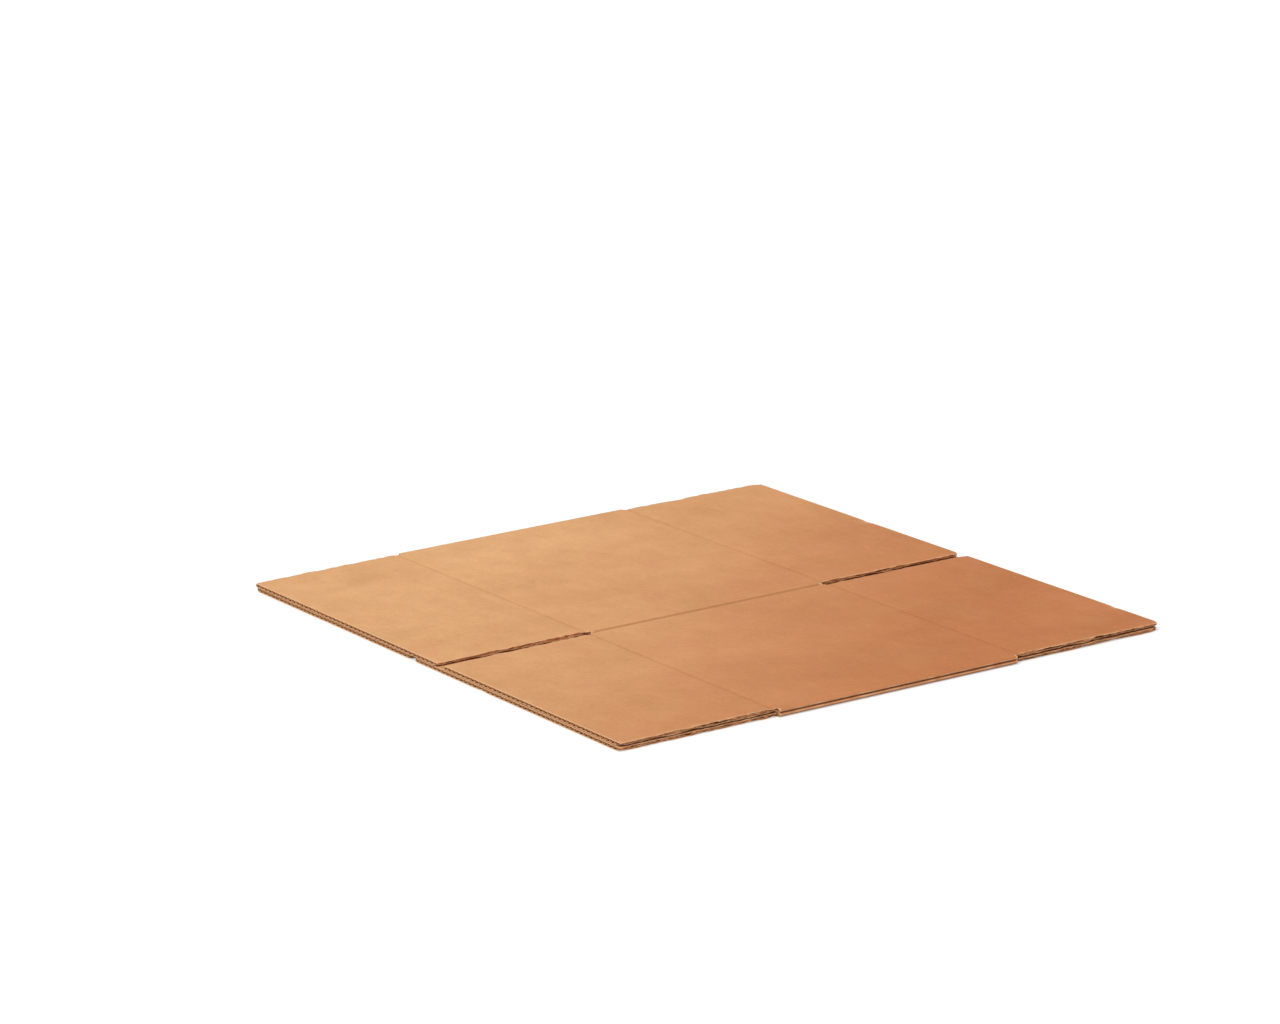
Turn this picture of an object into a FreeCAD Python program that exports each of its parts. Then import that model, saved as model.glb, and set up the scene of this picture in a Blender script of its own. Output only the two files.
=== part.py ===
import FreeCAD, Part
import math
import os
from FreeCAD import Vector

# A slotted shipping box of fluted board, folded flat as it is delivered.
# X runs across the two panels of each wall, Y along the flutes, Z up.
# The origin is at the middle of the underside.

# The box once it is squared up, in millimetres
box_length = 355.6
box_width = 304.8
box_height = 254.0

# The fluted board
liner = 0.45
medium = 0.3
flute_height = 2.7
flute_pitch = 7.8

# A hollow under one flute: half its width at the liner and at its shoulder as
# shares of the pitch, and its shoulder's height as a share of the room there
hollow_foot_share = 0.385
hollow_shoulder_share = 0.15
hollow_shoulder_height_share = 0.82

# How far the flutes of the upper wall are ahead of those of the lower wall, as
# a share of the pitch
upper_shift_share = 0.35

# The two folded side edges: the pressed board round the end of the gap, how far
# they stand out past the flaps, the rounding of their two lips and the depth of
# the scored line between the lips
fold_skin = 1.7
fold_stand_out = 4.5
lip_radius = 2.4
score_depth = 0.8

# The slots that part the flaps, and how far they run past the flap creases
slot_width = 6.4
slot_run_on = 4.0

# The glued joint: its tab, which lies flattened between the walls, the open
# seam beside it and the slot in line with it
tab_width = 35.0
tab_thickness = 0.75
tab_clearance = 0.15
tab_end_gap = 3.0
tab_taper = 11.0
seam_gap = 2.6
seam_slope = 2.4
joint_slot = 9.5

# The pressed creases: their width on the board and at the bottom, and how much
# of the liner is left under them
crease_width = 3.6
crease_floor_width = 1.8
crease_liner_left = 0.17

# How far a cutting shape reaches past what it cuts
overcut = 5.0

# Sizes that follow from the ones above
board = flute_height + 2 * liner
wall_gap = tab_thickness + tab_clearance
total_height = 2 * board + wall_gap
crease_depth = liner - crease_liner_left
flap_length = box_width / 2
half_width = (box_length + box_width) / 2
half_depth = box_height / 2 + flap_length
flap_crease_y = box_height / 2
flap_side_x = half_width - fold_stand_out
upper_wall_base = board + wall_gap

# The right-hand panel is a narrow one above and a long one below
joint_x = half_width - box_width
lower_crease_x = half_width - box_length
seam_edge_x = joint_x + seam_gap


def prism(points, start_y, end_y):
    # Closed outline of (x, z) points, drawn out along Y
    corners = [Vector(x, start_y, z) for x, z in points]
    face = Part.Face(Part.makePolygon(corners + corners[:1]))
    return face.extrude(Vector(0, end_y - start_y, 0))


def block(start_x, end_x, start_y, end_y, start_z, end_z):
    size = (end_x - start_x, end_y - start_y, end_z - start_z)
    return Part.makeBox(*size, Vector(start_x, start_y, start_z))


def folded_outline():
    # Flat above and below. At both sides an upper and a lower lip, each rounded
    # outside and curving in to the scored line between them.
    middle_z = total_height / 2
    lip_z = middle_z - lip_radius
    inner_radius = (score_depth**2 + lip_z**2) / (2 * score_depth)
    turn = math.asin(lip_z / inner_radius) / 2
    corner = lip_radius * math.sqrt(0.5)
    turn_x = half_width - lip_radius
    inner_x = half_width - inner_radius + inner_radius * math.cos(turn)
    side = [
        (turn_x, 0),
        (turn_x + corner, lip_radius - corner),
        (half_width, lip_radius),
        (inner_x, lip_radius + inner_radius * math.sin(turn)),
        (half_width - score_depth, middle_z),
    ]
    side += [(x, total_height - z) for x, z in reversed(side[:-1])]
    right = [Vector(x, -half_depth, z) for x, z in side]
    left = [Vector(-x, -half_depth, z) for x, z in reversed(side)]
    edges = [Part.makeLine(left[-1], right[0]), Part.makeLine(right[-1], left[0])]
    for points in (right, left):
        for start in range(0, len(points) - 1, 2):
            edges.append(Part.Arc(*points[start : start + 3]).toShape())
    return Part.Wire(Part.__sortEdges__(edges))


def stadium(side_x, low_z, high_z):
    # Flat above and below, half-round at both sides
    radius = (high_z - low_z) / 2
    middle_z = low_z + radius
    turn_x = side_x - radius
    y = -half_depth
    low_left = Vector(-turn_x, y, low_z)
    low_right = Vector(turn_x, y, low_z)
    high_right = Vector(turn_x, y, high_z)
    high_left = Vector(-turn_x, y, high_z)
    right = Part.Arc(low_right, Vector(side_x, y, middle_z), high_right).toShape()
    left = Part.Arc(high_left, Vector(-side_x, y, middle_z), low_left).toShape()
    bottom = Part.makeLine(low_left, low_right)
    top = Part.makeLine(high_right, high_left)
    return Part.Wire([bottom, right, top, left])


def hollow(middle_x, base_z, upward):
    # Corners of the open channel beside one flute, as (x, z) points
    room = flute_height - medium
    foot = hollow_foot_share * flute_pitch
    shoulder = hollow_shoulder_share * flute_pitch
    shoulder_z = base_z + upward * hollow_shoulder_height_share * room
    return [
        (middle_x + foot, base_z),
        (middle_x + shoulder, shoulder_z),
        (middle_x, base_z + upward * room),
        (middle_x - shoulder, shoulder_z),
        (middle_x - foot, base_z),
    ]


def clear_of_folds(points):
    # A channel stays a liner's thickness inside a half circle as high as the folded
    # box, which lies within the lips of its folded edge
    radius = total_height / 2
    turn_x = half_width - radius
    for x, z in points:
        past_turn = max(abs(x) - turn_x, 0)
        if past_turn > 0 and math.hypot(past_turn, z - radius) > radius - liner:
            return False
    return True


def wall_hollows(wall_base, shift, pressed_from, pressed_to):
    # Channels under and over the flutes of one wall, two to each pitch, left
    # out in the folded edges and in the stretch that is pressed solid
    wires = []
    steps = math.ceil(2 * half_width / flute_pitch)
    floor_z = wall_base + liner
    ceiling_z = floor_z + flute_height
    for step in range(-steps, steps + 1):
        middle_x = (step / 2 + shift) * flute_pitch
        if step % 2 == 0:
            points = hollow(middle_x, floor_z, 1)
        else:
            points = hollow(middle_x, ceiling_z, -1)
        low_x = min(x for x, z in points)
        high_x = max(x for x, z in points)
        is_pressed = pressed_from < high_x and low_x < pressed_to
        if is_pressed or not clear_of_folds(points):
            continue
        corners = [Vector(x, -half_depth, z) for x, z in points]
        wires.append(Part.makePolygon(corners + corners[:1]))
    return wires


def folded_walls():
    # Both walls with their folded edges, over the full depth
    outline = folded_outline()
    gap = stadium(half_width - fold_skin, board, upper_wall_base)
    lower_from = lower_crease_x - crease_floor_width / 2
    lower_to = lower_crease_x + crease_floor_width / 2
    upper_from = joint_x - seam_slope - liner
    wires = [outline, gap]
    wires += wall_hollows(0, 0, lower_from, lower_to)
    wires += wall_hollows(upper_wall_base, upper_shift_share, upper_from, joint_x)
    face = Part.makeFace(wires, "Part::FaceMakerBullseye")
    return face.extrude(Vector(0, 2 * half_depth, 0))


def slot(start_x, end_x, low_z, high_z, side):
    # One slot from the flap ends to its round end past the crease, at the
    # front (side -1) or at the back (side 1)
    radius = (end_x - start_x) / 2
    end_y = side * (flap_crease_y - slot_run_on + radius)
    outer_y = side * (half_depth + overcut)
    low_y, high_y = sorted((end_y, outer_y))
    straight = block(start_x, end_x, low_y, high_y, low_z, high_z)
    middle = Vector(start_x + radius, end_y, low_z)
    round_end = Part.makeCylinder(radius, high_z - low_z, middle)
    return straight.fuse(round_end)


def cut_shapes():
    top = total_height + overcut
    gap_middle = board + wall_gap / 2
    joint_start = seam_edge_x - joint_slot
    lower_start = lower_crease_x - slot_width / 2
    lower_end = lower_start + slot_width
    side_end = half_width + overcut
    fold_end_y = flap_crease_y - slot_run_on
    flap_end_y = half_depth + overcut
    shapes = []
    for side in (-1, 1):
        shapes.append(slot(joint_start, seam_edge_x, gap_middle, top, side))
        shapes.append(slot(lower_start, lower_end, -overcut, gap_middle, side))
        low_y, high_y = sorted((side * fold_end_y, side * flap_end_y))
        shapes.append(block(flap_side_x, side_end, low_y, high_y, -overcut, top))
        shapes.append(block(-side_end, -flap_side_x, low_y, high_y, -overcut, top))
    return shapes


def seam():
    # The open seam: the left panel slopes down to the tab, the right one is cut square
    top = total_height + overcut
    slope_x = joint_x - seam_slope
    points = (
        (joint_x, upper_wall_base),
        (seam_edge_x, upper_wall_base),
        (seam_edge_x, top),
        (slope_x, top),
        (slope_x, total_height),
    )
    return prism(points, -half_depth, half_depth)


def glue_tab():
    # Under the upper wall, with its two ends cut at a slant
    base_z = upper_wall_base - tab_thickness
    root_x = joint_x - seam_slope
    tip_x = joint_x + tab_width
    root_y = flap_crease_y - tab_end_gap
    tip_y = root_y - tab_taper
    plan = ((root_x, -root_y), (tip_x, -tip_y), (tip_x, tip_y), (root_x, root_y))
    corners = [Vector(x, y, base_z) for x, y in plan]
    face = Part.Face(Part.makePolygon(corners + corners[:1]))
    return face.extrude(Vector(0, 0, tab_thickness))


def groove(middle, surface_z, inward):
    # Section of a crease with sloping sides, as (across, z) points
    outer = crease_width / 2
    inner = crease_floor_width / 2
    floor_z = surface_z + inward * crease_depth
    clear_z = surface_z - inward * overcut
    return (
        (middle - outer, clear_z),
        (middle - outer, surface_z),
        (middle - inner, floor_z),
        (middle + inner, floor_z),
        (middle + outer, surface_z),
        (middle + outer, clear_z),
    )


def flap_crease(middle_y, surface_z, inward):
    # Across one wall, where its flaps begin
    start_x = -half_width - overcut
    corners = []
    for y, z in groove(middle_y, surface_z, inward):
        corners.append(Vector(start_x, y, z))
    face = Part.Face(Part.makePolygon(corners + corners[:1]))
    return face.extrude(Vector(-2 * start_x, 0, 0))


def creases():
    # On the outside of both walls, and between the two panels of the lower wall
    lower_groove = groove(lower_crease_x, 0, 1)
    shapes = [prism(lower_groove, -flap_crease_y, flap_crease_y)]
    for side in (-1, 1):
        shapes.append(flap_crease(side * flap_crease_y, total_height, -1))
        shapes.append(flap_crease(side * flap_crease_y, 0, 1))
    return shapes


def flattened_box():
    box = folded_walls()
    box = box.cut(cut_shapes() + creases() + [seam()])
    box = box.fuse(glue_tab())
    return box.removeSplitter()


box = flattened_box()
solid = box.Solids[0]
print("solids", len(box.Solids), "valid", box.isValid(), "volume", round(box.Volume))
print("size", box.BoundBox.XLength, box.BoundBox.YLength, box.BoundBox.ZLength)

os.makedirs("parts", exist_ok=True)
solid.exportStep("parts/flattened_box.step")
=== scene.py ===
import math

import bpy
import numpy as np
from mathutils import Matrix, Vector


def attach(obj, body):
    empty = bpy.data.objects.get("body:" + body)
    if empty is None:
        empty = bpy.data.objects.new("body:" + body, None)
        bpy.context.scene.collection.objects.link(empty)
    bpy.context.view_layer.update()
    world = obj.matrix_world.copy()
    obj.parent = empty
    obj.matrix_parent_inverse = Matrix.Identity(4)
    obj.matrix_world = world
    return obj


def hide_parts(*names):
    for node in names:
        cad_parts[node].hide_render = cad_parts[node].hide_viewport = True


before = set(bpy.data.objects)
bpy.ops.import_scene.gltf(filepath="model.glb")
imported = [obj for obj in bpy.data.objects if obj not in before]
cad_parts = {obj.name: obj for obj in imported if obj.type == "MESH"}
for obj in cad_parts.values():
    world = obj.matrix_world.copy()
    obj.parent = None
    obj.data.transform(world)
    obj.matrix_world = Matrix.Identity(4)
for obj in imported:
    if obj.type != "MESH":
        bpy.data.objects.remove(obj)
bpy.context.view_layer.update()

# A slotted shipping box of fluted board, folded flat: two walls of board, one on
# the other, joined by a folded edge at each side. Lengths here are millimetres,
# and makePiece turns them into metres.
millimetre = 0.001

# The box, as the part's source has it
box = {
    "halfWidth": 330.2,
    "halfDepth": 279.4,
    "height": 8.1,
    "board": 3.6,
    "flapSide": 325.7,
    "foldStart": 326.15,
    "flapCrease": 127.0,
    "flapLength": 152.4,
    "slotEnd": 123.0,
    "pitch": 7.8,
    "liner": 0.42,
    "medium": 0.32,
}

# Less than the step between any two rows
hair = 0.02

# Each wall: the height of its inner face, which way is outwards, where a flute
# touches the outer liner as a share of the pitch, and where its panels part.
# Flaps are listed left front, right front, left back, right back.
upperWall = {
    "name": "upper",
    "innerFace": 4.5,
    "outwards": 1,
    "shift": 0.35,
    "parting": 25.0,
    "standBack": (0.0, 0.5, 0.6, 0.1),
    "droop": (0.16, 0.3, 0.24, 0.12),
    "seed": 11,
}
lowerWall = {
    "name": "lower",
    "innerFace": 3.6,
    "outwards": -1,
    "shift": 0.5,
    "parting": -25.4,
    "standBack": (0.6, 0.0, 0.1, 0.7),
    "droop": (0.12, 0.05, 0.1, 0.14),
    "seed": 47,
}

# Knocks on the rims: x, y, reach, push in x, push in y and share pinched
knocks = {
    "upper": (
        (325.7, -279.4, 4.5, -1.3, 1.5, 0.3),
        (-325.7, -279.4, 3.5, 0.8, 0.7, 0.22),
        (325.7, 279.4, 4.0, -1.0, -0.9, 0.2),
        (-325.7, 279.4, 5.0, 1.2, -1.4, 0.3),
        (18.5, -279.4, 3.0, -0.7, 0.7, 0.2),
        (28.0, -279.4, 3.0, 0.6, 0.5, 0.18),
        (18.5, 279.4, 3.0, -0.5, -0.7, 0.2),
        (28.0, 279.4, 3.4, 0.8, -0.6, 0.25),
        (-214.0, -279.4, 6.0, 0.0, 0.45, 0.16),
        (-88.0, -279.4, 4.0, 0.0, 0.3, 0.12),
        (171.0, -279.4, 7.0, 0.0, 0.5, 0.18),
        (262.0, 279.4, 5.0, 0.0, -0.5, 0.16),
        (-131.0, 279.4, 8.0, 0.0, -0.6, 0.2),
        (325.7, -204.0, 6.0, -0.6, 0.0, 0.2),
        (-325.7, 188.0, 7.0, 0.7, 0.0, 0.22),
    ),
    "lower": (
        (325.7, -279.4, 4.0, -0.9, 0.8, 0.24),
        (-325.7, -279.4, 4.5, 1.2, 1.3, 0.28),
        (325.7, 279.4, 5.0, -1.3, -1.2, 0.3),
        (-325.7, 279.4, 3.5, 0.7, -0.8, 0.2),
        (-28.6, -279.4, 3.0, -0.6, 0.6, 0.2),
        (-22.2, -279.4, 3.0, 0.5, 0.7, 0.2),
        (-28.6, 279.4, 3.0, -0.6, -0.5, 0.2),
        (-22.2, 279.4, 3.0, 0.6, -0.6, 0.2),
        (96.0, -279.4, 7.0, 0.0, 0.5, 0.18),
        (-176.0, 279.4, 5.0, 0.0, -0.4, 0.14),
        (325.7, 231.0, 6.0, -0.6, 0.0, 0.2),
    ),
}


def ragged(position, spacing, seed):
    # Random heights from -1 to 1, one at every spacing, with smooth slopes between
    count = 512
    heights = np.random.default_rng(seed).uniform(-1, 1, count)
    steps = np.asarray(position) / spacing + count / 2
    whole = np.floor(steps).astype(int)
    part = eased(steps - whole)
    return heights[whole % count] * (1 - part) + heights[(whole + 1) % count] * part


def wave(position, shape, seed):
    # Ragged heights of a shape given as a size and a spacing
    size, spacing = shape
    return size * ragged(position, spacing, seed)


def wandering(position, shapes, seeds):
    # Ragged heights of several shapes, one on the other, from 0 upwards
    total = 0
    for (size, spacing), seed in zip(shapes, seeds):
        total = total + size * (1 + ragged(position, spacing, seed))
    return total


def eased(value):
    # From 0 to 1 with level ends
    share = np.clip(value, 0, 1)
    return share * share * (3 - 2 * share)


# The pressed creases, the crushed board beside the folds, the liner that sags
# between the flutes and the slow swell of a whole wall
surface = {
    "creaseDepth": 0.56,
    "creaseReach": 2.2,
    "creaseBeads": 0.2,
    "creaseFade": 2.0,
    "foldCrush": 0.3,
    "foldReach": 5.5,
    "foldCrushTo": 126.0,
    "foldCrushFade": 3.0,
    "washboard": 0.05,
    "washboardFade": 8.0,
    "swell": 0.06,
    "swellFade": 25.0,
    "swellLengths": (61, 47, 113),
}

# Wear of the cuts and rims. A shape is a size and a spacing.
wear = {
    "scuffReach": 0.8,
    "scuffPerPinch": 3,
    "scuffPale": 0.7,
    "flapFade": 3.0,
    "panelMiddle": 150.0,
    "endFrom": 262.0,
    "endFade": 17.0,
    "endShapes": ((0.1, 31), (0.04, 4.1), (0.05, 2.3)),
    "sideReach": 1.2,
    "sideShapes": ((0.12, 17), (0.3, 3.4), (0.17, 1.5)),
    "sidePinch": 0.36,
    "sidePinchShape": (0.26, 15),
    "sidePinchRipple": (0.2, 4.6),
    "sidePinchReach": 2.4,
    "endPinch": 0.05,
    "endPinchReach": 1.6,
    "mostPinch": 0.72,
}

# Every paper of a wall wanders by itself, with seeds that are so much higher
layers = {"outer": 0, "inner": 20, "flutes": 40, "torn": 60}


def fluteTurn(x, wall):
    return 2 * np.pi * (x / box["pitch"] - wall["shift"])


def creaseDip(x, y, wall):
    # A rounded valley, depth times e to minus the squared distance from its line,
    # deeper by a share wherever the liner has no flute under it
    fromLine = (np.abs(y) - box["flapCrease"]) / surface["creaseReach"]
    beads = 1 - surface["creaseBeads"] * np.cos(fluteTurn(x, wall))
    dip = surface["creaseDepth"] * np.exp(-fromLine**2) * beads
    if wall is lowerWall:
        fromLine = (x - wall["parting"]) / surface["creaseReach"]
        within = eased((box["flapCrease"] - np.abs(y)) / surface["creaseFade"])
        dip = np.maximum(dip, surface["creaseDepth"] * np.exp(-fromLine**2) * within)
    return dip


def boardDip(x, y, wall):
    # How much thinner the board is: under a crease, and beside a fold
    fromFold = (box["foldStart"] - np.abs(x)) / surface["foldReach"]
    within = eased((surface["foldCrushTo"] - np.abs(y)) / surface["foldCrushFade"])
    crushed = surface["foldCrush"] * np.exp(-fromFold**2) * within
    return creaseDip(x, y, wall) * (1 - np.exp(-fromFold**2) * within) + crushed


def outerDip(x, y, wall):
    # The thinner board, and a sag between the flutes that fades out at the folds
    fade = eased((box["foldStart"] - np.abs(x)) / surface["washboardFade"])
    sag = surface["washboard"] * (0.5 - 0.5 * np.cos(fluteTurn(x, wall)))
    return boardDip(x, y, wall) + sag * fade


def scuffed(x, y, wall):
    # 1 in the middle of a hard knock, 0 away from it
    total = np.zeros(np.broadcast(x, y).shape)
    for knockX, knockY, reach, pushX, pushY, pinched in knocks[wall["name"]]:
        spread = wear["scuffReach"] * reach
        near = np.exp(-((x - knockX) ** 2 + (y - knockY) ** 2) / spread**2)
        total = np.maximum(total, near * min(wear["scuffPerPinch"] * pinched, 1))
    return total


def worn(x, y, height, wall, fromSide, layer):
    # Takes a point of the true wall, with its height over the wall's inner face,
    # to where it is on a box that has been stacked and handled
    seed = wall["seed"]
    x, y, height, fromSide = np.broadcast_arrays(x, y, height, fromSide)
    along = np.abs(y)
    flap = (y > 0) * 2 + (x > wall["parting"])
    flapShare = np.clip((along - box["flapCrease"]) / box["flapLength"], 0, 1)
    isFlap = eased((along - box["slotEnd"]) / wear["flapFade"])

    # The flap ends stand back a little, and their cut wanders
    nearEnd = eased((along - wear["endFrom"]) / wear["endFade"])
    wander = wandering(x, wear["endShapes"], (seed, seed + 1, seed + 2 + layer))
    back = np.array(wall["standBack"])[flap] * flapShare + wander * nearEnd
    newY = y - np.sign(y) * back

    # The side cuts wander too, and the knife presses the board together there
    towardsSide = np.exp(-fromSide / wear["sideReach"]) * isFlap
    wander = wandering(y, wear["sideShapes"], (seed + 5, seed + 6 + layer, seed + 7 + layer))
    middle = np.where(x > wall["parting"], 1, -1) * wear["panelMiddle"] + wall["parting"]
    newX = x + np.sign(middle - x) * wander * towardsSide
    pinch = wear["sidePinch"] + wave(y, wear["sidePinchShape"], seed + 9)
    pinch = pinch + wave(y, wear["sidePinchRipple"], seed + 10 + layer)
    pinch = np.maximum(pinch, 0) * np.exp(-fromSide / wear["sidePinchReach"]) * isFlap
    fromEnd = box["halfDepth"] - along
    pinch = pinch + wear["endPinch"] * np.exp(-fromEnd / wear["endPinchReach"])

    for knockX, knockY, reach, pushX, pushY, pinched in knocks[wall["name"]]:
        near = np.exp(-((x - knockX) ** 2 + (y - knockY) ** 2) / reach**2)
        near = near * (along > box["slotEnd"])
        newX = newX + pushX * near
        newY = newY + pushY * near
        pinch = pinch + pinched * near

    # Pinched towards the middle of the board, drooping on the flaps, and swelling
    centre = box["board"] / 2
    newHeight = centre + (height - centre) * (1 - np.clip(pinch, 0, wear["mostPinch"]))
    newHeight = newHeight - np.array(wall["droop"])[flap] * flapShare**2
    across, lengthways, slanting = surface["swellLengths"]
    swell = 0.5 + 0.25 * (np.sin(x / across + seed) + np.sin(y / lengthways + x / slanting))
    fade = eased((box["foldStart"] - np.abs(x)) / surface["swellFade"])
    newHeight = newHeight - surface["swell"] * swell * fade
    z = wall["innerFace"] + wall["outwards"] * newHeight
    return np.stack(np.broadcast_arrays(newX, newY, z), axis=-1)


def closedSheet(outside, inside, rim, pressed=0):
    # Two grids of the same size, joined round their border. Rim is 1 on a cut or
    # scuffed edge, and it also marks painted highlights. The pressed mark is 1 at the
    # bottom of a crease and more in a scored line, where it darkens pressed paper with
    # painted shade. Both are 0 elsewhere.
    rows, columns = outside.shape[:2]
    count = rows * columns
    index = np.arange(count).reshape(rows, columns)
    here, right = index[:-1, :-1], index[:-1, 1:]
    upRight, up = index[1:, 1:], index[1:, :-1]
    front = np.stack([here, right, upRight, up], axis=-1).reshape(-1, 4)
    border = np.concatenate([index[0], index[1:, -1], index[-1, -2::-1], index[-2:0:-1, 0]])
    following = np.roll(border, -1)
    walls = np.stack([following, border, border + count, following + count], axis=-1)
    quads = np.concatenate([front, front[:, ::-1] + count, walls])
    points = np.concatenate([outside.reshape(-1, 3), inside.reshape(-1, 3)])
    if enclosed(points, quads) < 0:
        quads = quads[:, ::-1]
    marks = []
    for mark in (rim, pressed):
        mark = np.broadcast_to(mark, (rows, columns)).ravel().astype(np.float32)
        marks.append(np.concatenate([mark, mark]))
    return points, quads, np.stack(marks)


def enclosed(points, quads):
    # Volume inside the faces, positive when they face outwards
    centred = points - points.mean(axis=0)
    a, b, c, d = (centred[quads[:, corner]] for corner in range(4))
    firstHalf = np.einsum("ij,ij->i", a, np.cross(b, c))
    secondHalf = np.einsum("ij,ij->i", a, np.cross(c, d))
    return (firstHalf + secondHalf).sum() / 6


# Faces that turn by more degrees than this meet in a sharp edge
sharpAngle = 58


def makePiece(name, sheets, material):
    # One mesh of several closed sheets, riding on the box
    points, quads, marks, offset = [], [], [], 0
    for sheetPoints, sheetQuads, sheetMarks in sheets:
        points.append(sheetPoints)
        quads.append(sheetQuads + offset)
        marks.append(sheetMarks)
        offset += len(sheetPoints)
    points = np.concatenate(points) * millimetre
    quads = np.concatenate(quads).astype(np.int32)
    mesh = bpy.data.meshes.new(name)
    mesh.vertices.add(len(points))
    mesh.vertices.foreach_set("co", points.astype(np.float32).ravel())
    mesh.loops.add(quads.size)
    mesh.loops.foreach_set("vertex_index", quads.ravel())
    mesh.polygons.add(len(quads))
    mesh.polygons.foreach_set("loop_start", np.arange(0, quads.size, 4, dtype=np.int32))
    mesh.update(calc_edges=True)
    mesh.validate()
    mesh.shade_smooth()
    mesh.set_sharp_from_angle(angle=math.radians(sharpAngle))
    # Marks of pale edges with painted highlights, and of pressed paper with painted shade
    for label, values in zip(("paleEdgeAndHighlight", "pressed"), np.concatenate(marks, axis=1)):
        mark = mesh.attributes.new(label, "FLOAT", "POINT")
        mark.data.foreach_set("value", np.ascontiguousarray(values))
    mesh.materials.append(material)
    piece = bpy.data.objects.new(name, mesh)
    bpy.context.scene.collection.objects.link(piece)
    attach(piece, "root")
    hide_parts("flattened_box")
    print(name, len(quads) * 2, "triangles")
    return piece


class Shade:
    # A socket of a material's tree. Sums on values add their Math nodes.
    def __init__(self, tree, socket=None):
        self.tree = tree
        self.socket = socket

    def node(self, kind, settings, sockets, output=0):
        made = self.tree.nodes.new(kind)
        for name, setting in settings.items():
            setattr(made, name, setting)
        for name, value in sockets.items():
            if isinstance(value, Shade):
                self.tree.links.new(value.socket, made.inputs[name])
            else:
                made.inputs[name].default_value = value
        return Shade(self.tree, made.outputs[output] if made.outputs else None)

    def beside(self, output):
        # Another socket of the same node
        return Shade(self.tree, self.socket.node.outputs[output])

    def sum(self, operation, first, second):
        settings = {"operation": operation}
        return self.node("ShaderNodeMath", settings, {0: first, 1: second})

    def __add__(self, other):
        return self.sum("ADD", self, other)

    def __radd__(self, other):
        return self.sum("ADD", other, self)

    def __sub__(self, other):
        return self.sum("SUBTRACT", self, other)

    def __mul__(self, other):
        return self.sum("MULTIPLY", self, other)

    def __truediv__(self, other):
        return self.sum("DIVIDE", self, other)


def emptyTree(owner):
    # The node tree of a material or a world, with nothing in it
    owner.use_nodes = True
    owner.node_tree.nodes.clear()
    return Shade(owner.node_tree)


def colour(red, green, blue):
    # From the 0 to 255 values of a screen to the linear ones of a shader
    screen = np.array([red, green, blue]) / 255
    linear = np.where(screen <= 0.04045, screen / 12.92, ((screen + 0.055) / 1.055) ** 2.4)
    return (*linear.tolist(), 1)


def noiseOf(shade, place, scale, stretch, detail, roughness, offset):
    # Noise with so many lumps a metre, drawn out along X, Y or Z
    settings = {"vector_type": "POINT"}
    sockets = {"Vector": place, "Location": (offset, offset, offset), "Scale": stretch}
    moved = shade.node("ShaderNodeMapping", settings, sockets)
    sockets = {"Vector": moved, "Scale": scale, "Detail": detail, "Roughness": roughness}
    return shade.node("ShaderNodeTexNoise", {}, sockets)


def stepped(shade, value, low, high):
    # 0 below low, 1 above high
    settings = {"interpolation_type": "SMOOTHSTEP"}
    sockets = {"Value": value, "From Min": low, "From Max": high}
    return shade.node("ShaderNodeMapRange", settings, sockets)


def blended(shade, share, first, second):
    settings = {"data_type": "RGBA"}
    return shade.node("ShaderNodeMix", settings, {0: share, 6: first, 7: second}, 2)


def marked(shade, name):
    # The mesh's own mark of that name
    settings = {"attribute_type": "GEOMETRY", "attribute_name": name}
    return shade.node("ShaderNodeAttribute", settings, {}, 2)


# Noises of the paper: lumps a metre, stretch along X, Y and Z, detail, roughness
# and how far each is moved, so that no two of them agree
grain = {
    "clouds": (9, (1, 0.7, 1), 2, 0.55, 0.0),
    "patches": (17, (0.8, 1, 1), 2, 0.5, 6.4),
    "blotches": (60, (0.7, 1, 1), 4, 0.6, 3.1),
    "lumps": (240, (0.6, 1, 1), 3, 0.6, 4.6),
    "fibres": (620, (0.3, 1, 1), 3, 0.6, 1.7),
    "fuzz": (1700, (0.5, 1, 1), 2, 0.5, 5.3),
    "darkFlecks": (1350, (0.22, 1, 1), 1, 0.4, 9.2),
    "lightFlecks": (1250, (0.2, 1, 1), 1, 0.4, 7.9),
}

# Tints over the paper: the noise that lays each on, the noise's values at which it
# sets in and is full, and its colour
tints = (
    ("patches", 0.52, 0.68, "pinker"),
    ("patches", 0.48, 0.32, "greener"),
    ("darkFlecks", 0.63, 0.74, "fleckAndShade"),
    ("lightFlecks", 0.63, 0.75, "rim"),
)

# How much each noise stands out of the paper, and for how many metres in all
relief = {
    "fibres": 0.5,
    "fuzz": 0.3,
    "lumps": 0.6,
    "blotches": 0.8,
    "rimFuzz": 0.8,
    "distance": 0.00012,
}


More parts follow.
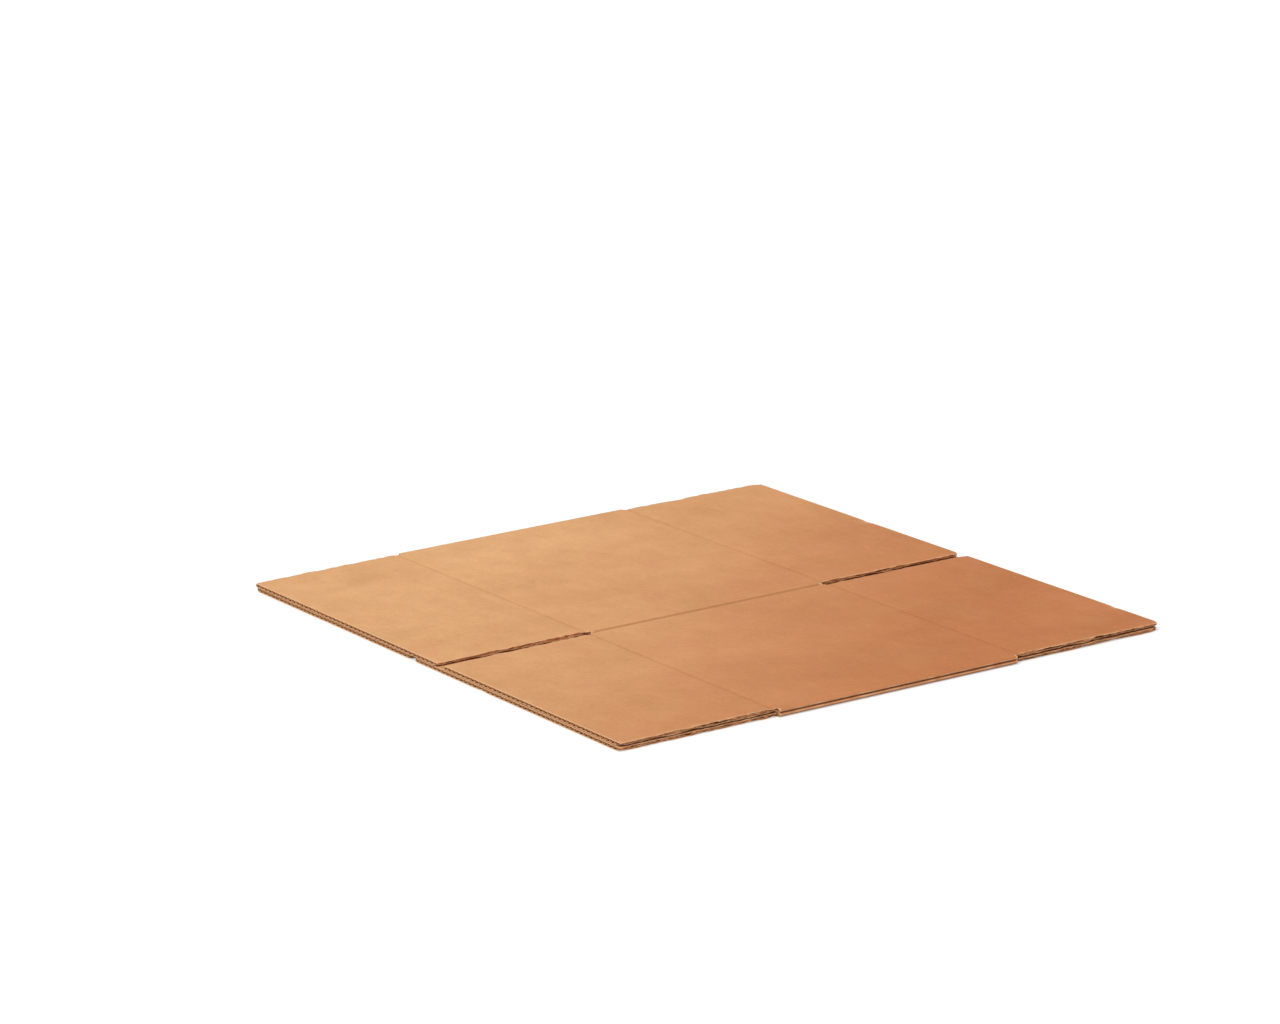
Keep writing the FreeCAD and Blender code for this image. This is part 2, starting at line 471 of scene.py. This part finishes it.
def paper(name, look):
    # Kraft paper: wide clouds, blotches, drawn-out fibres, dark and light flecks,
    # pinker and greener patches, faint bands over the flutes with painted shade between
    # them, painted light and shade from one corner to the other, pressed creases darkened
    # with painted shade, scored lines in painted shade, and paler cut or scuffed edges
    # with painted highlights
    material = bpy.data.materials.new(name)
    shade = emptyTree(material)
    place = shade.node("ShaderNodeTexCoord", {}, {}, 3)
    alongX = shade.node("ShaderNodeSeparateXYZ", {}, {"Vector": place})
    alongY = alongX.beside(1)
    noise = {label: noiseOf(shade, place, *settings) for label, settings in grain.items()}
    pressed, rim = marked(shade, "pressed"), marked(shade, "paleEdgeAndHighlight")

    # Faint bands at the flute pitch: glue lines, with painted shade where the liner sags between
    # the flutes
    turn = alongX * (2 * math.pi / (box["pitch"] * millimetre))
    bandsAndWashboardShade = shade.node("ShaderNodeMath", {"operation": "COSINE"}, {0: turn - look["bandTurn"]})
    tone = bandsAndWashboardShade * look["bandsAndWashboardShade"] + 0.5
    for label in ("clouds", "blotches", "lumps", "fibres", "fuzz"):
        tone = tone + (noise[label] - 0.5) * look[label]
    # Darker where pressed: the pressed paper of a crease with painted shade on it, and much more
    # painted shade in a fold's scored line
    tone = tone - pressed * look["pressed"]

    # Painted light and shade: the paper is lighter and yellower towards one corner and darker and
    # browner towards the other
    across = (alongX + alongY) / (2 * look["paintedLightReach"]) + 0.5
    paintedLightDrift = stepped(shade, across, 0.0, 1.0)
    darker = blended(shade, paintedLightDrift, look["darkInPaintedLight"], look["darkInPaintedShade"])
    paler = blended(shade, paintedLightDrift, look["paleInPaintedLight"], look["paleInPaintedShade"])
    base = blended(shade, tone, darker, paler)
    for label, low, high, tint in tints:
        share = stepped(shade, noise[label], low, high) * look[label]
        base = blended(shade, share, base, look[tint])
    # Painted shade in creases and scored lines, towards the dark fleck colour
    base = blended(shade, pressed * look["pressedShade"], base, look["fleckAndShade"])
    # Pale cut and scuffed edges, with painted highlights along the flap ends and the fold's lips
    base = blended(shade, rim * look["rimShare"], base, look["rim"])

    height = noise["fibres"] * relief["fibres"]
    for label in ("fuzz", "lumps", "blotches"):
        height = height + noise[label] * relief[label]
    height = height + rim * noise["fuzz"] * relief["rimFuzz"]
    sockets = {"Strength": look["bump"], "Distance": relief["distance"], "Height": height}
    bump = shade.node("ShaderNodeBump", {}, sockets)
    sockets = {
        "Base Color": base,
        "Roughness": look["roughness"] + (noise["fibres"] - 0.5) * look["roughnessSwing"],
        "Specular IOR Level": look["specular"],
        "Normal": bump,
    }
    shader = shade.node("ShaderNodeBsdfPrincipled", {}, sockets)
    shade.node("ShaderNodeOutputMaterial", {}, {"Surface": shader})
    return material


faceLook = {
    "clouds": 0.8,
    "blotches": 0.6,
    "lumps": 0.4,
    "fibres": 0.4,
    "fuzz": 0.22,
    # Faint bands of glue lines and painted shade between the flutes
    "bandsAndWashboardShade": 0.035,
    "bandTurn": 2 * math.pi * upperWall["shift"],
    # How much pressed paper darkens, with painted shade in creases and scored lines
    "pressed": 0.14,
    "pressedShade": 0.05,
    # Painted light and shade across the paper: its reach, then the dark and pale tones under
    # painted light and under painted shade
    "paintedLightReach": 0.42,
    "darkInPaintedLight": colour(208, 152, 102),
    "darkInPaintedShade": colour(179, 110, 66),
    "paleInPaintedLight": colour(239, 186, 134),
    "paleInPaintedShade": colour(205, 134, 87),
    "pinker": colour(206, 136, 100),
    "greener": colour(192, 143, 92),
    "patches": 0.16,
    # The colour of dark flecks, also used for the painted shade of creases and scored lines
    "fleckAndShade": colour(118, 66, 32),
    # Colour of pale cut and scuffed edges, light flecks and painted highlights
    "rim": colour(238, 192, 149),
    "darkFlecks": 0.16,
    "lightFlecks": 0.14,
    "rimShare": 0.85,
    "roughness": 0.88,
    "roughnessSwing": 0.14,
    "specular": 0.15,
    "bump": 0.5,
}
innerLook = {
    **faceLook,
    # Dark and pale tones under painted light and under painted shade
    "darkInPaintedLight": colour(198, 142, 94),
    "darkInPaintedShade": colour(176, 116, 72),
    "paleInPaintedLight": colour(216, 162, 112),
    "paleInPaintedShade": colour(196, 136, 88),
}
fluteLook = {
    **faceLook,
    "clouds": 0.3,
    "blotches": 1.1,
    "fibres": 1.1,
    "bandsAndWashboardShade": 0.0,
    # Dark and pale tones under painted light and under painted shade
    "darkInPaintedLight": colour(170, 109, 63),
    "darkInPaintedShade": colour(148, 90, 50),
    "paleInPaintedLight": colour(210, 149, 94),
    "paleInPaintedShade": colour(188, 126, 76),
    "rim": colour(224, 168, 116),
    "rimShare": 0.6,
    "roughness": 0.9,
    "bump": 0.8,
}
tornLook = {
    **fluteLook,
    "blotches": 1.3,
    "lumps": 2.6,
    # Dark and pale tones under painted light and under painted shade
    "darkInPaintedLight": colour(150, 92, 54),
    "darkInPaintedShade": colour(122, 74, 44),
    "paleInPaintedLight": colour(236, 170, 120),
    "paleInPaintedShade": colour(224, 152, 103),
    "rim": colour(226, 168, 120),
    "rimShare": 0.5,
}
facePaper = paper("kraft liner", faceLook)
innerPaper = paper("kraft inner liner", innerLook)
flutePaper = paper("kraft fluting", fluteLook)
tornPaper = paper("torn kraft fluting", tornLook)
print("materials made")

# The cut sides of the flaps have strips of their own, with rows close together. The
# first row and the last ones are given by their distance from the strip's two ends.
sideCut = {
    "from": 128.4,
    "width": 5.0,
    "columns": (0, 0.35, 0.8, 1.4, 2.4, 3.6, 5.0),
    "rowStep": 1.3,
    "firstRow": 0.05,
    "lastRows": (1.1, 0.5, 0.0),
    "fluteInset": 2.2,
    "pale": 0.75,
    "paleShape": (0.6, 3.3),
    "paleLimits": (0.1, 1.1),
    "paleReach": 0.8,
}

# The cut ends of the flaps: where a painted highlight along them begins and how wide
# it is, and where and how far the fluting stands back from them
endCut = {
    "highlightFrom": 278.2,
    "highlightWidth": 1.0,
    "fluteFrom": 278.0,
    "fluteFade": 1.4,
    "fluteInset": 0.07,
    "fluteSpacing": 3.1,
}

# The middle and the radius of the round end of a slot, and the seam of the upper
# wall: the left panel ends at the tab's shoulder, the right one at the seam's edge
wideSlot = (23.25, 4.75)
narrowSlot = (-25.4, 3.2)
tabShoulder = 22.0
seamEdge = 28.0


def foldSide(along):
    # Side edge by the fold: where the fold starts, and farther in on a flap
    return np.where(along > box["slotEnd"] + hair, box["flapSide"], box["foldStart"])


def leftFoldSide(along):
    return -foldSide(along)


def slotSide(middle, radius, home, outwards):
    # Side edge by a slot: home between the flaps, then the slot's round end, then
    # its straight side. Outwards is the side of the slot that the panel is on.
    def side(along):
        past = np.clip(along - box["slotEnd"], 0, radius)
        reach = np.sqrt(np.maximum(radius**2 - (radius - past) ** 2, 0))
        return np.where(along > box["slotEnd"] + hair, middle + outwards * reach, home)

    return side


def seamSide(along):
    return np.full_like(along, seamEdge)


# Side edges of the four panels: from x to x at each y
panels = {
    "upperLeft": (upperWall, leftFoldSide, slotSide(*wideSlot, tabShoulder, -1)),
    "upperRight": (upperWall, seamSide, foldSide),
    "lowerLeft": (lowerWall, leftFoldSide, slotSide(*narrowSlot, lowerWall["parting"], -1)),
    "lowerRight": (lowerWall, slotSide(*narrowSlot, lowerWall["parting"], 1), foldSide),
}

# Distances from the middle line at which the sheets have their rows
fineRows = (
    0, 24, 48, 72, 92, 107, 116, 120, 122, 122.9, 123, 123.1, 123.4, 123.9, 124.5,
    125.1, 125.7, 126.2, 126.7, 127.2, 127.75, 128.4, 128.45, 129.1, 130, 131.2, 133.5,
    138, 147, 160, 175, 190, 205, 220, 234, 246, 256, 264, 269.5, 273, 275.4, 277, 278.1,
    278.9, 279.4,
)
plainRows = (
    0, 60, 110, 120, 122.9, 123, 123.2, 123.9, 124.9, 125.7, 126.4, 127, 127.75, 128.4,
    128.45, 130, 133, 150, 200, 250, 268, 274, 276.8, 278.4, 279.4,
)

# Columns: a few close ones by the sides, and even ones from there on, as many as
# fit a width with a little left out. Their spacing is a fifth, a third, a half or
# a tenth of the flute pitch.
columnPlan = {
    "close": (0, 0.3, 0.8, 1.5, 2.4),
    "evenFrom": 3.2,
    "leftOut": 6.0,
}
columnSpacing = {
    "upperFace": 1.56,
    "lowerFace": 2.6,
    "inside": 3.9,
    "flutes": 0.78,
}


def rowsOf(distances):
    half = np.array(distances, float)
    return np.concatenate([-half[:0:-1], half])[:, None]


def columnsOf(width, spacing):
    # The columns of a sheet as shares of its width
    close = np.array(columnPlan["close"]) / width
    evenFrom = columnPlan["evenFrom"] / width
    count = int(round((width - columnPlan["leftOut"]) / spacing))
    even = np.linspace(evenFrom, 1 - evenFrom, count)
    return np.concatenate([close, even, 1 - close[::-1]])[None, :]


def panelGrid(name, distances, spacing, inset):
    # x runs from one side edge to the other in the same shares at every y
    wall, leftSide, rightSide = panels[name]
    y = rowsOf(distances)
    along = np.abs(y)
    isInset = along > sideCut["from"] + hair
    left = leftSide(along) + inset * isInset
    right = rightSide(along) - inset * isInset
    share = columnsOf(float((right - left).max()), spacing)
    x = left + (right - left) * share
    fromSide = np.minimum(x - leftSide(along), rightSide(along) - x)
    isSide = ((share <= 0) | (share >= 1)) & (along > box["slotEnd"])
    if name == "upperRight":
        isSide = isSide | (share <= 0)
    # A painted highlight over the last millimetre of a flap end, up to its pale cut edge
    paleEndAndHighlight = np.clip((along - endCut["highlightFrom"]) / endCut["highlightWidth"], 0, 1)
    rim = np.maximum(isSide & ~isInset, paleEndAndHighlight)
    y = np.broadcast_to(y, x.shape)
    return wall, x, y, fromSide, np.maximum(rim, wear["scuffPale"] * scuffed(x, y, wall))


def stripGrids(name):
    # The strips along the four cut sides of a panel's two flaps
    wall, leftSide, rightSide = panels[name]
    count = int(round((box["halfDepth"] - sideCut["from"]) / sideCut["rowStep"]))
    last = box["halfDepth"] - np.array(sideCut["lastRows"])
    along = np.linspace(sideCut["from"] + sideCut["firstRow"], last[0], count)
    along = np.concatenate([along, last[1:]])[:, None]
    fromSide = np.array(sideCut["columns"])[None, :]
    for end in (-1, 1):
        for x in (leftSide(along) + fromSide, rightSide(along) - fromSide):
            y = np.broadcast_to(end * along, x.shape)
            pale = sideCut["pale"] + wave(y, sideCut["paleShape"], wall["seed"] + 12)
            pale = np.clip(pale, *sideCut["paleLimits"])
            rim = np.exp(-fromSide / sideCut["paleReach"]) * pale
            rim = np.where(along >= box["halfDepth"], 1, rim)
            rim = np.maximum(rim, wear["scuffPale"] * scuffed(x, y, wall))
            yield wall, x, y, np.broadcast_to(fromSide, x.shape), rim


def linerSheets(name, distances, spacing, isOuter):
    # Closed sheets of one liner, a liner's thickness apart
    grids = [panelGrid(name, distances, spacing, sideCut["width"]), *stripGrids(name)]
    for wall, x, y, fromSide, rim in grids:
        if isOuter:
            layer = layers["outer"]
            # The crease mark, which darkens pressed paper and paints shade into the crease
            pressed = creaseDip(x, y, wall) / surface["creaseDepth"]
            top = box["board"] - outerDip(x, y, wall)
            outside = worn(x, y, top, wall, fromSide, layer)
            inside = worn(x, y, top - box["liner"], wall, fromSide, layer)
            yield closedSheet(outside, inside, rim, pressed)
        else:
            layer = layers["inner"]
            outside = worn(x, y, 0.0, wall, fromSide, layer)
            inside = worn(x, y, box["liner"], wall, fromSide, layer)
            yield closedSheet(outside, inside, rim)


def fluteSheet(name):
    # A cosine of x between the two liners, half the medium's thickness out along
    # the curve's own normal on each side, pressed flatter where the board is thinner
    grid = panelGrid(name, plainRows, columnSpacing["flutes"], sideCut["fluteInset"])
    wall, x, y, fromSide, rim = grid
    dip = boardDip(x, y, wall)
    swing = (box["board"] - 2 * box["liner"] - box["medium"] - dip) / 2
    turn = fluteTurn(x, wall)
    height = box["board"] / 2 - dip / 2 + swing * np.cos(turn)
    slope = -swing * np.sin(turn) * 2 * np.pi / box["pitch"]
    halfThick = box["medium"] / 2 / np.sqrt(1 + slope**2)
    inset = endCut["fluteInset"]
    inset = inset + wave(x, (inset, endCut["fluteSpacing"]), wall["seed"] + 30)
    ends = eased((np.abs(y) - endCut["fluteFrom"]) / endCut["fluteFade"])
    y = y - np.sign(y) * inset * ends
    away = slope * halfThick
    layer = layers["flutes"]
    outside = worn(x - away, y, height + halfThick, wall, fromSide, layer)
    inside = worn(x + away, y, height - halfThick, wall, fromSide, layer)
    return closedSheet(outside, inside, rim)


def linersOf(names, distances, spacing, isOuter):
    sheets = []
    for name in names:
        sheets += linerSheets(name, distances, spacing, isOuter)
    return sheets


upperNames = ("upperLeft", "upperRight")
lowerNames = ("lowerLeft", "lowerRight")
upperSheets = linersOf(upperNames, fineRows, columnSpacing["upperFace"], True)
makePiece("upper_face", upperSheets, facePaper)
lowerSheets = linersOf(lowerNames, fineRows, columnSpacing["lowerFace"], True)
makePiece("lower_face", lowerSheets, facePaper)
upperSheets = linersOf(upperNames, plainRows, columnSpacing["inside"], False)
makePiece("upper_inside", upperSheets, innerPaper)
lowerSheets = linersOf(lowerNames, plainRows, columnSpacing["inside"], False)
makePiece("lower_inside", lowerSheets, innerPaper)
makePiece("upper_flutes", [fluteSheet(name) for name in upperNames], flutePaper)
makePiece("lower_flutes", [fluteSheet(name) for name in lowerNames], flutePaper)

# The folded edges at both sides. Outside, two rounded lips curve in to the scored
# line between them. The inner liner goes round the end of the gap, and the crushed
# fluting lies between.
fold = {
    "rowSpacing": 2.0,
    "plainRowSpacing": 3.0,
    "columns": 51,
    "flatShare": 0.2,
    "lipShare": 0.5,
    "lineShare": 0.3,
    "lipRadius": 2.4,
    "scoreDepth": 0.8,
    "scoreExtra": 0.85,
    "scoreExtraShape": (0.35, 8.5),
    "scoreReach": 0.75,
    # Painted shade in the scored line between the lips: its strength and its reach
    "scoreShade": 11.0,
    "scoreShadeReach": 0.8,
    # A painted highlight along each lip's ridge: its strength, its wander along the fold, its
    # height and its reach
    "lipHighlight": 0.65,
    "lipHighlightShape": (0.6, 5.5),
    "lipHighlightHeight": 1.5,
    "lipHighlightReach": 0.7,
    "gapEnd": 327.0,
    "gapRadius": 0.45,
    "fade": 1.6,
    "inset": 0.03,
    "wobble": 0.22,
    "wobbleShape": (0.5, 23),
    "wrinkle": 0.06,
    "wrinkleSpacing": 4.3,
    "wrinkleWaves": 3,
    "upperSet": 0.08,
    "upperSetSlope": 2.5,
    "upperSetSpacing": 11,
    "crushWaves": 4,
    "crushShift": (0.6, 9),
    "crushThick": 0.26,
    "crushClear": 0.2,
    "liningClear": 0.06,
    "seed": 71,
}


def foldedLine(share):
    # The part's section outside one fold, from its lower flat (-1) by the scored
    # line (0) to its upper flat (1): a straight piece, then a quarter circle over
    # the lip, then an arc that curves in to the line
    lip, depth = fold["lipRadius"], fold["scoreDepth"]
    middle = box["height"] / 2
    toLip = middle - lip
    inner = (depth**2 + toLip**2) / (2 * depth)
    away = np.abs(share)
    lipFrom = fold["lineShare"] + fold["lipShare"]
    straight = np.clip((1 - away) / fold["flatShare"], 0, 1)
    overLip = np.clip((lipFrom - away) / fold["lipShare"], 0, 1) * math.pi / 2
    curvingIn = np.clip((fold["lineShare"] - away) / fold["lineShare"], 0, 1)
    curvingIn = curvingIn * math.asin(toLip / inner)
    lipX = box["halfWidth"] - lip
    x = box["foldStart"] + (lipX - box["foldStart"]) * straight
    x = x + lip * np.sin(overLip) - inner * (1 - np.cos(curvingIn))
    z = middle - lip * (1 - np.cos(overLip)) - inner * np.sin(curvingIn)
    return x, np.sign(share) * z


def foldSheets(side):
    # The outer liner, the lining of the gap and the crushed fluting of one fold
    seed = fold["seed"] + side
    share = np.linspace(-1, 1, fold["columns"])[None, :]
    turn = share * math.pi / 2
    middle = box["height"] / 2
    lineX, lineZ = foldedLine(share)
    stepX, stepZ = np.gradient(lineX[0]), np.gradient(lineZ[0])
    length = np.hypot(stepX, stepZ)

    def rowsAt(spacing):
        # Rows along the fold, and which of them are its cut ends
        count = int(round(2 * box["slotEnd"] / spacing))
        y = np.linspace(-box["slotEnd"], box["slotEnd"], count + 1)[:, None]
        return y, np.abs(y) >= box["slotEnd"] - hair

    def atFold(x, z, y):
        # Pressed in a little, unevenly, and most at the scored line
        high = z / middle
        wobble = fold["inset"] + fold["wobble"] * (0.5 + wave(y, fold["wobbleShape"], seed))
        wrinkled = ragged(y, fold["wrinkleSpacing"], seed + 2) * np.cos(fold["wrinkleWaves"] * turn)
        wobble = wobble + fold["wrinkle"] * (1 + wrinkled)
        upper = eased(0.5 + fold["upperSetSlope"] * high)
        setBack = fold["upperSet"] * (1 + ragged(y, fold["upperSetSpacing"], seed + 4))
        wobble = wobble + setBack * upper
        scored = fold["scoreExtra"] * (1 + wave(y, fold["scoreExtraShape"], seed + 6))
        scored = scored * np.exp(-((z / fold["scoreReach"]) ** 2))
        past = eased((x - box["foldStart"]) / fold["fade"])
        flatter = surface["foldCrush"] * np.clip(np.abs(high), 0, 1) ** 2
        newZ = middle + z - np.sign(z) * flatter
        newX = x - past * (wobble + scored)
        return np.stack(np.broadcast_arrays(side * newX, y, newZ), axis=-1)

    def outerLine(depth):
        # The outside line, or one that much farther in
        return lineX - depth * stepZ / length, lineZ + depth * stepX / length

    def gapLine(radius):
        # Round the end of the gap between the walls, that far out from it
        centre = box["foldStart"] + (fold["gapEnd"] - box["foldStart"]) * np.cos(turn)
        return centre + radius * np.cos(turn), radius * np.sin(turn)

    y, ends = rowsAt(fold["rowSpacing"])
    # A painted highlight along the ridge of each lip
    fromLip = (np.abs(lineZ) - fold["lipHighlightHeight"]) / fold["lipHighlightReach"]
    pale = fold["lipHighlight"] * np.exp(-(fromLip**2))
    pale = pale * (1 + wave(y, fold["lipHighlightShape"], seed + 20))
    # Painted shade in the scored line between the lips
    pressed = fold["scoreShade"] * np.exp(-((lineZ / fold["scoreShadeReach"]) ** 2))
    outside, inside = outerLine(0), outerLine(box["liner"])
    rim = np.maximum(ends, pale)
    liner = closedSheet(atFold(*outside, y), atFold(*inside, y), rim, pressed)

    y, ends = rowsAt(fold["plainRowSpacing"])
    outside, inside = gapLine(fold["gapRadius"] + box["liner"]), gapLine(fold["gapRadius"])
    lining = closedSheet(atFold(*outside, y), atFold(*inside, y), ends)

    # The crushed fluting swings between the two liners, half its thickness out
    # along the curve's own normal on each side
    under, over = outerLine(box["liner"]), outside
    room = np.hypot(under[0] - over[0], under[1] - over[1])
    half = fold["crushThick"] / 2
    nearUnder = (half + fold["crushClear"]) / room
    nearOver = 1 - (half + fold["liningClear"]) / room
    shifted = turn * 2 * fold["crushWaves"] + wave(y, fold["crushShift"], seed + 10)
    swing = nearUnder + (nearOver - nearUnder) * (0.5 + 0.5 * np.cos(shifted))
    x = under[0] + (over[0] - under[0]) * swing
    z = under[1] + (over[1] - under[1]) * swing
    alongX, alongZ = np.gradient(x, axis=1), np.gradient(z, axis=1)
    away = half / np.hypot(alongX, alongZ)
    crushed = [atFold(x + way * alongZ, z - way * alongX, y) for way in (-away, away)]
    return liner, lining, closedSheet(*crushed, ends)


rightFold = foldSheets(1)
leftFold = foldSheets(-1)
makePiece("folded_edges", [rightFold[0], leftFold[0]], facePaper)
makePiece("fold_lining", [rightFold[1], leftFold[1], rightFold[2], leftFold[2]], flutePaper)

# The glue tab: down from the left panel and flat under the right one
tab = {
    "foot": 25.4,
    "straightTo": 23.0,
    "tip": 60.4,
    "top": 4.48,
    "flatThick": 0.72,
    "rootLength": 124.0,
    "tipLength": 113.0,
    "slopeColumns": 13,
    "flatColumns": 16,
    "rows": 61,
    "sag": 0.02,
}


def glueTab():
    # The section falls along half a cosine from the wall's outside to the gap, and
    # its flat part sags a little between the flutes
    slopeX = np.linspace(tabShoulder, tab["foot"], tab["slopeColumns"])
    flatX = np.linspace(tab["foot"], tab["tip"], tab["flatColumns"])[1:]
    x = np.concatenate([slopeX, flatX])[None, :]
    share = np.clip((x - tabShoulder) / (tab["foot"] - tabShoulder), 0, 1)
    fall = box["height"] - tab["top"]
    z = tab["top"] + fall * (0.5 + 0.5 * np.cos(math.pi * share))
    thick = box["liner"] + (tab["flatThick"] - box["liner"]) * eased(share)
    taper = np.clip((x - tab["straightTo"]) / (tab["tip"] - tab["straightTo"]), 0, 1)
    length = tab["rootLength"] - (tab["rootLength"] - tab["tipLength"]) * taper
    length = np.where(x < tab["straightTo"], box["slotEnd"], length)
    v = np.linspace(-1, 1, tab["rows"])[:, None]
    y = v * length
    sag = tab["sag"] * (1 - np.cos(2 * math.pi * x / box["pitch"])) * (share >= 1)
    top = np.stack(np.broadcast_arrays(x, y, z - sag), axis=-1)
    under = np.stack(np.broadcast_arrays(x, y, z - thick), axis=-1)
    rim = (np.abs(v) >= 1) | (x >= tab["tip"])
    return closedSheet(top, under, rim)


makePiece("glue_tab", [glueTab()], innerPaper)

# Fluting torn by the knife, in the open sides of the flaps
torn = {
    "step": 1.2,
    "columns": 5,
    "thick": 0.24,
    "from": 128.5,
    "to": 279.0,
    "clearance": 0.05,
    "reach": 0.55,
    "reachShape": (0.42, 7),
    "reachRipple": (0.2, 1.9),
    "reachLimits": (0.08, 0.98),
    "depth": 0.85,
    "depthShape": (0.9, 5),
    "leanShape": (1.3, 3.6),
    "bulgeShape": (0.7, 2.4),
    "depthLimits": (0.05, 3.4),
    "footPale": 0.25,
    "firstSeed": 200,
}

# The cut sides of the flaps on each wall: x, and the side of it that the flap is on
cutSides = (
    (upperWall, ((-325.7, 1), (18.5, -1), (28.0, 1), (325.7, -1))),
    (lowerWall, ((-325.7, 1), (-28.6, -1), (-22.2, 1), (325.7, -1))),
)


def tornStrip(wall, edge, panelSide, end, fromOuter, seed):
    # A crumpled ribbon that stands on one liner, with a ragged rim short of the
    # other. Its height and its depth behind the cut are random along the edge.
    count = int(round((torn["to"] - torn["from"]) / torn["step"]))
    along = np.linspace(torn["from"], torn["to"], count)[:, None]
    up = np.linspace(0, 1, torn["columns"])[None, :]
    room = box["board"] - 2 * (box["liner"] + torn["clearance"])
    reach = torn["reach"] + wave(along, torn["reachShape"], seed)
    reach = reach + wave(along, torn["reachRipple"], seed + 1)
    climb = up * np.clip(reach, *torn["reachLimits"]) * room
    depth = torn["depth"] + wave(along, torn["depthShape"], seed + 2)
    depth = depth + up * wave(along, torn["leanShape"], seed + 3)
    depth = depth + np.sin(up * math.pi) * wave(along, torn["bulgeShape"], seed + 4)
    depth = np.clip(depth, *torn["depthLimits"])
    height = box["liner"] + torn["clearance"] + climb
    if fromOuter:
        height = box["board"] - height
    y = end * along
    faces = []
    for behind in (depth, depth + torn["thick"]):
        x = edge + panelSide * behind
        faces.append(worn(x, y, height, wall, depth, layers["torn"]))
    return closedSheet(*faces, torn["footPale"] + (1 - torn["footPale"]) * up**3)


def tornStrips():
    seed = torn["firstSeed"]
    for wall, sides in cutSides:
        for edge, panelSide in sides:
            for end in (-1, 1):
                for fromOuter in (False, True):
                    seed += 10
                    yield tornStrip(wall, edge, panelSide, end, fromOuter, seed)


makePiece("torn_fluting", list(tornStrips()), tornPaper)

# The camera of the photograph: turned about the upright, tipped down, rolled, and
# the part's origin as it sees it, right, up and away
cameraLook = {
    "turn": -58.998,
    "tip": 14.646,
    "roll": -2.606,
    "origin": (49.672, -89.043, 4807.71),
    "focalPixels": 5305.36,
    "imageWidth": 1280,
    "sensor": 36.0,
    "nearest": 0.05,
    "farthest": 60.0,
}


def makeCamera(look):
    turn, tip, roll = (math.radians(look[name]) for name in ("turn", "tip", "roll"))
    flat = math.cos(tip)
    away = Vector((math.sin(turn) * flat, math.cos(turn) * flat, -math.sin(tip)))
    level = Vector((math.cos(turn), -math.sin(turn), 0))
    upright = level.cross(away)
    right = level * math.cos(roll) + upright * math.sin(roll)
    up = upright * math.cos(roll) - level * math.sin(roll)
    seenRight, seenUp, seenAway = look["origin"]
    place = -(right * seenRight + up * seenUp + away * seenAway) * millimetre
    data = bpy.data.cameras.new("camera")
    data.sensor_fit = "HORIZONTAL"
    data.sensor_width = look["sensor"]
    data.lens = look["focalPixels"] / look["imageWidth"] * look["sensor"]
    data.clip_start = look["nearest"]
    data.clip_end = look["farthest"]
    camera = bpy.data.objects.new("camera", data)
    turned = Matrix((right, up, -away)).transposed()
    camera.matrix_world = Matrix.Translation(place) @ turned.to_4x4()
    bpy.context.scene.collection.objects.link(camera)
    bpy.context.scene.camera = camera


makeCamera(cameraLook)

# A white floor that keeps the shadow, a wide soft sun and an even sky
studio = {
    "floorHalf": 9.0,
    "floorLevel": -0.0002,
    "floorTone": 0.62,
    "floorGlow": 0.43,
    "sky": 0.47,
    "sunStrength": 2.15,
    "sunAngle": 40,
    "sunFrom": (0.31, -0.56, 0.78),
}


def makeFloor(look):
    half, level = look["floorHalf"], look["floorLevel"]
    corners = [(x * half, y * half, level) for x, y in ((-1, -1), (1, -1), (1, 1), (-1, 1))]
    mesh = bpy.data.meshes.new("floor")
    mesh.from_pydata(corners, [], [(0, 1, 2, 3)])
    material = bpy.data.materials.new("pale floor")
    shade = emptyTree(material)
    tone = look["floorTone"]
    diffuse = shade.node("ShaderNodeBsdfDiffuse", {}, {"Color": (tone, tone, tone, 1)})
    seen = shade.node("ShaderNodeLightPath", {}, {})
    glow = shade.node("ShaderNodeEmission", {}, {"Strength": seen * look["floorGlow"]})
    both = shade.node("ShaderNodeAddShader", {}, {0: diffuse, 1: glow})
    shade.node("ShaderNodeOutputMaterial", {}, {"Surface": both})
    mesh.materials.append(material)
    floor = bpy.data.objects.new("floor", mesh)
    bpy.context.scene.collection.objects.link(floor)


def makeLight(look):
    data = bpy.data.lights.new("soft sun", "SUN")
    data.energy = look["sunStrength"]
    data.angle = math.radians(look["sunAngle"])
    lamp = bpy.data.objects.new("soft sun", data)
    lamp.rotation_mode = "QUATERNION"
    lamp.rotation_quaternion = Vector(look["sunFrom"]).to_track_quat("Z", "Y")
    bpy.context.scene.collection.objects.link(lamp)
    world = bpy.data.worlds.new("studio")
    shade = emptyTree(world)
    direct = shade.node("ShaderNodeLightPath", {}, {})
    glossy, through = direct.beside(3), direct.beside(6)
    seen = shade.sum("MINIMUM", direct + glossy + through, 1.0)
    strength = look["sky"] + seen * (1 - look["sky"])
    sky = shade.node("ShaderNodeBackground", {}, {"Color": (1, 1, 1, 1), "Strength": strength})
    shade.node("ShaderNodeOutputWorld", {}, {"Surface": sky})
    bpy.context.scene.world = world


makeFloor(studio)
makeLight(studio)
bpy.context.scene.view_settings.view_transform = "Standard"
print("stage made")
